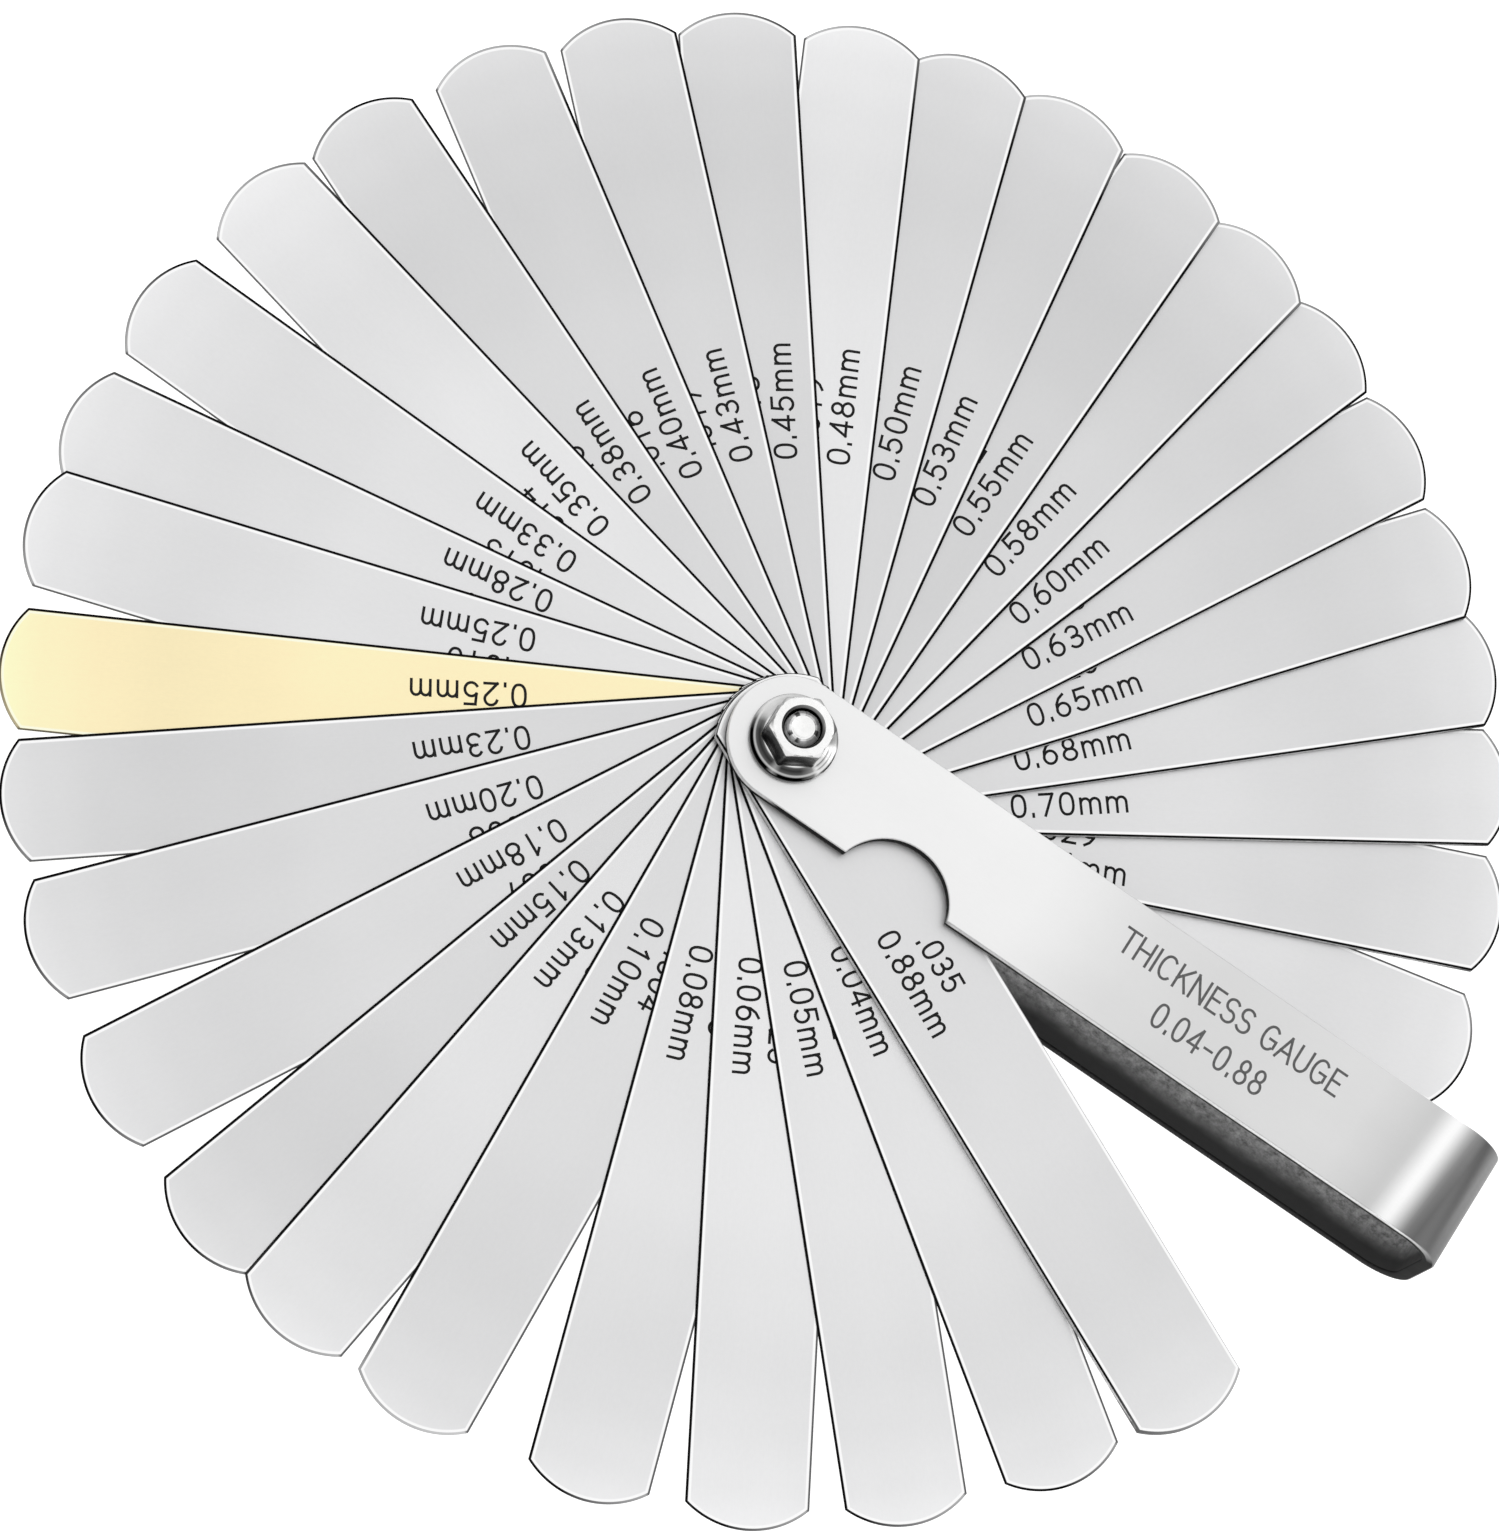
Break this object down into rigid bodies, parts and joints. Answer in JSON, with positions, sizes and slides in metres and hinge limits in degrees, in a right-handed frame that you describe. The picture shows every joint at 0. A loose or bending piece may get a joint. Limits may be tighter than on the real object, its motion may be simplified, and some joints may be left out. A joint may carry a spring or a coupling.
{
  "type": "feeler gauge",
  "caption": "Feeler gauge: thin steel leaves and one brass leaf of graded thickness, fanned on one pivot bolt in a holder bent from steel strap.",
  "frame": {"origin": "on the pivot axis, at the flat outer face of the bolt's head, on which the gauge rests when it lies on its back", "axes": "+X along the holder from the pivot to its bend, +Z along the pivot from the bolt's head to the nut"},
  "size_m": [0.1666, 0.1618, 0.0245],
  "materials": {
    "holder_steel": "bright brushed",
    "zinc_steel": "bright plated",
    "blade_steel": "fine satin",
    "brass": "fine satin"
  },
  "bodies": {
    "handle": {"holder": "holder_steel", "pivot_bolt": "zinc_steel", "flange_nut": "zinc_steel"},
    "blade_088_body": {"blade_088": "blade_steel"},
    "blade_004_body": {"blade_004": "blade_steel"},
    "blade_005_body": {"blade_005": "blade_steel"},
    "blade_006_body": {"blade_006": "blade_steel"},
    "blade_008_body": {"blade_008": "blade_steel"},
    "blade_010_body": {"blade_010": "blade_steel"},
    "blade_013_body": {"blade_013": "blade_steel"},
    "blade_015_body": {"blade_015": "blade_steel"},
    "blade_018_body": {"blade_018": "blade_steel"},
    "blade_020_body": {"blade_020": "blade_steel"},
    "blade_023_body": {"blade_023": "blade_steel"},
    "blade_025_brass_body": {"blade_025_brass": "brass"},
    "blade_025_steel_body": {"blade_025_steel": "blade_steel"},
    "blade_028_body": {"blade_028": "blade_steel"},
    "blade_033_body": {"blade_033": "blade_steel"},
    "blade_035_body": {"blade_035": "blade_steel"},
    "blade_038_body": {"blade_038": "blade_steel"},
    "blade_040_body": {"blade_040": "blade_steel"},
    "blade_043_body": {"blade_043": "blade_steel"},
    "blade_045_body": {"blade_045": "blade_steel"},
    "blade_048_body": {"blade_048": "blade_steel"},
    "blade_050_body": {"blade_050": "blade_steel"},
    "blade_053_body": {"blade_053": "blade_steel"},
    "blade_055_body": {"blade_055": "blade_steel"},
    "blade_058_body": {"blade_058": "blade_steel"},
    "blade_060_body": {"blade_060": "blade_steel"},
    "blade_063_body": {"blade_063": "blade_steel"},
    "blade_065_body": {"blade_065": "blade_steel"},
    "blade_068_body": {"blade_068": "blade_steel"},
    "blade_070_body": {"blade_070": "blade_steel"},
    "blade_074_body": {"blade_074": "blade_steel"},
    "blade_080_body": {"blade_080": "blade_steel"}
  },
  "joints": [
    {"name": "pivot_088", "type": "hinge", "parent": "handle", "child": "blade_088_body", "pos_m": [0, 0, 0.01691], "axis": [0, 0, 1], "range_deg": [-334.5, 25.5]},
    {"name": "pivot_004", "type": "hinge", "parent": "handle", "child": "blade_004_body", "pos_m": [0, 0, 0.0164], "axis": [0, 0, 1], "range_deg": [-323.7, 36.3]},
    {"name": "pivot_005", "type": "hinge", "parent": "handle", "child": "blade_005_body", "pos_m": [0, 0, 0.01631], "axis": [0, 0, 1], "range_deg": [-311.5, 48.5]},
    {"name": "pivot_006", "type": "hinge", "parent": "handle", "child": "blade_006_body", "pos_m": [0, 0, 0.0162], "axis": [0, 0, 1], "range_deg": [-299.6, 60.4]},
    {"name": "pivot_008", "type": "hinge", "parent": "handle", "child": "blade_008_body", "pos_m": [0, 0, 0.01608], "axis": [0, 0, 1], "range_deg": [-287.7, 72.3]},
    {"name": "pivot_010", "type": "hinge", "parent": "handle", "child": "blade_010_body", "pos_m": [0, 0, 0.01594], "axis": [0, 0, 1], "range_deg": [-273.7, 86.3]},
    {"name": "pivot_013", "type": "hinge", "parent": "handle", "child": "blade_013_body", "pos_m": [0, 0, 0.01578], "axis": [0, 0, 1], "range_deg": [-263, 97]},
    {"name": "pivot_015", "type": "hinge", "parent": "handle", "child": "blade_015_body", "pos_m": [0, 0, 0.01559], "axis": [0, 0, 1], "range_deg": [-253.9, 106.1]},
    {"name": "pivot_018", "type": "hinge", "parent": "handle", "child": "blade_018_body", "pos_m": [0, 0, 0.01537], "axis": [0, 0, 1], "range_deg": [-242, 118]},
    {"name": "pivot_020", "type": "hinge", "parent": "handle", "child": "blade_020_body", "pos_m": [0, 0, 0.01513], "axis": [0, 0, 1], "range_deg": [-229.9, 130.1]},
    {"name": "pivot_023", "type": "hinge", "parent": "handle", "child": "blade_023_body", "pos_m": [0, 0, 0.01487], "axis": [0, 0, 1], "range_deg": [-219.3, 140.7]},
    {"name": "pivot_025_brass", "type": "hinge", "parent": "handle", "child": "blade_025_brass_body", "pos_m": [0, 0, 0.01458], "axis": [0, 0, 1], "range_deg": [-209.3, 150.7]},
    {"name": "pivot_025_steel", "type": "hinge", "parent": "handle", "child": "blade_025_steel_body", "pos_m": [0, 0, 0.01428], "axis": [0, 0, 1], "range_deg": [-198.3, 161.7]},
    {"name": "pivot_028", "type": "hinge", "parent": "handle", "child": "blade_028_body", "pos_m": [0, 0, 0.01396], "axis": [0, 0, 1], "range_deg": [-189.7, 170.3]},
    {"name": "pivot_033", "type": "hinge", "parent": "handle", "child": "blade_033_body", "pos_m": [0, 0, 0.01361], "axis": [0, 0, 1], "range_deg": [-178.7, 181.3]},
    {"name": "pivot_035", "type": "hinge", "parent": "handle", "child": "blade_035_body", "pos_m": [0, 0, 0.01322], "axis": [0, 0, 1], "range_deg": [-167.1, 192.9]},
    {"name": "pivot_038", "type": "hinge", "parent": "handle", "child": "blade_038_body", "pos_m": [0, 0, 0.01281], "axis": [0, 0, 1], "range_deg": [-157.1, 202.9]},
    {"name": "pivot_040", "type": "hinge", "parent": "handle", "child": "blade_040_body", "pos_m": [0, 0, 0.01237], "axis": [0, 0, 1], "range_deg": [-145.8, 214.2]},
    {"name": "pivot_043", "type": "hinge", "parent": "handle", "child": "blade_043_body", "pos_m": [0, 0, 0.0119], "axis": [0, 0, 1], "range_deg": [-135.3, 224.7]},
    {"name": "pivot_045", "type": "hinge", "parent": "handle", "child": "blade_045_body", "pos_m": [0, 0, 0.01141], "axis": [0, 0, 1], "range_deg": [-125.8, 234.2]},
    {"name": "pivot_048", "type": "hinge", "parent": "handle", "child": "blade_048_body", "pos_m": [0, 0, 0.0109], "axis": [0, 0, 1], "range_deg": [-115.8, 244.2]},
    {"name": "pivot_050", "type": "hinge", "parent": "handle", "child": "blade_050_body", "pos_m": [0, 0, 0.01036], "axis": [0, 0, 1], "range_deg": [-106.9, 253.1]},
    {"name": "pivot_053", "type": "hinge", "parent": "handle", "child": "blade_053_body", "pos_m": [0, 0, 0.00979], "axis": [0, 0, 1], "range_deg": [-98.2, 261.8]},
    {"name": "pivot_055", "type": "hinge", "parent": "handle", "child": "blade_055_body", "pos_m": [0, 0, 0.0092], "axis": [0, 0, 1], "range_deg": [-88.8, 271.2]},
    {"name": "pivot_058", "type": "hinge", "parent": "handle", "child": "blade_058_body", "pos_m": [0, 0, 0.00859], "axis": [0, 0, 1], "range_deg": [-79.8, 280.2]},
    {"name": "pivot_060", "type": "hinge", "parent": "handle", "child": "blade_060_body", "pos_m": [0, 0, 0.00795], "axis": [0, 0, 1], "range_deg": [-71.2, 288.8]},
    {"name": "pivot_063", "type": "hinge", "parent": "handle", "child": "blade_063_body", "pos_m": [0, 0, 0.00728], "axis": [0, 0, 1], "range_deg": [-61.7, 298.3]},
    {"name": "pivot_065", "type": "hinge", "parent": "handle", "child": "blade_065_body", "pos_m": [0, 0, 0.00659], "axis": [0, 0, 1], "range_deg": [-51.9, 308.1]},
    {"name": "pivot_068", "type": "hinge", "parent": "handle", "child": "blade_068_body", "pos_m": [0, 0, 0.00588], "axis": [0, 0, 1], "range_deg": [-43.3, 316.7]},
    {"name": "pivot_070", "type": "hinge", "parent": "handle", "child": "blade_070_body", "pos_m": [0, 0, 0.00514], "axis": [0, 0, 1], "range_deg": [-33.9, 326.1]},
    {"name": "pivot_074", "type": "hinge", "parent": "handle", "child": "blade_074_body", "pos_m": [0, 0, 0.00437], "axis": [0, 0, 1], "range_deg": [-23.9, 336.1]},
    {"name": "pivot_080", "type": "hinge", "parent": "handle", "child": "blade_080_body", "pos_m": [0, 0, 0.00355], "axis": [0, 0, 1], "range_deg": [-12.9, 347.1]}
  ]
}
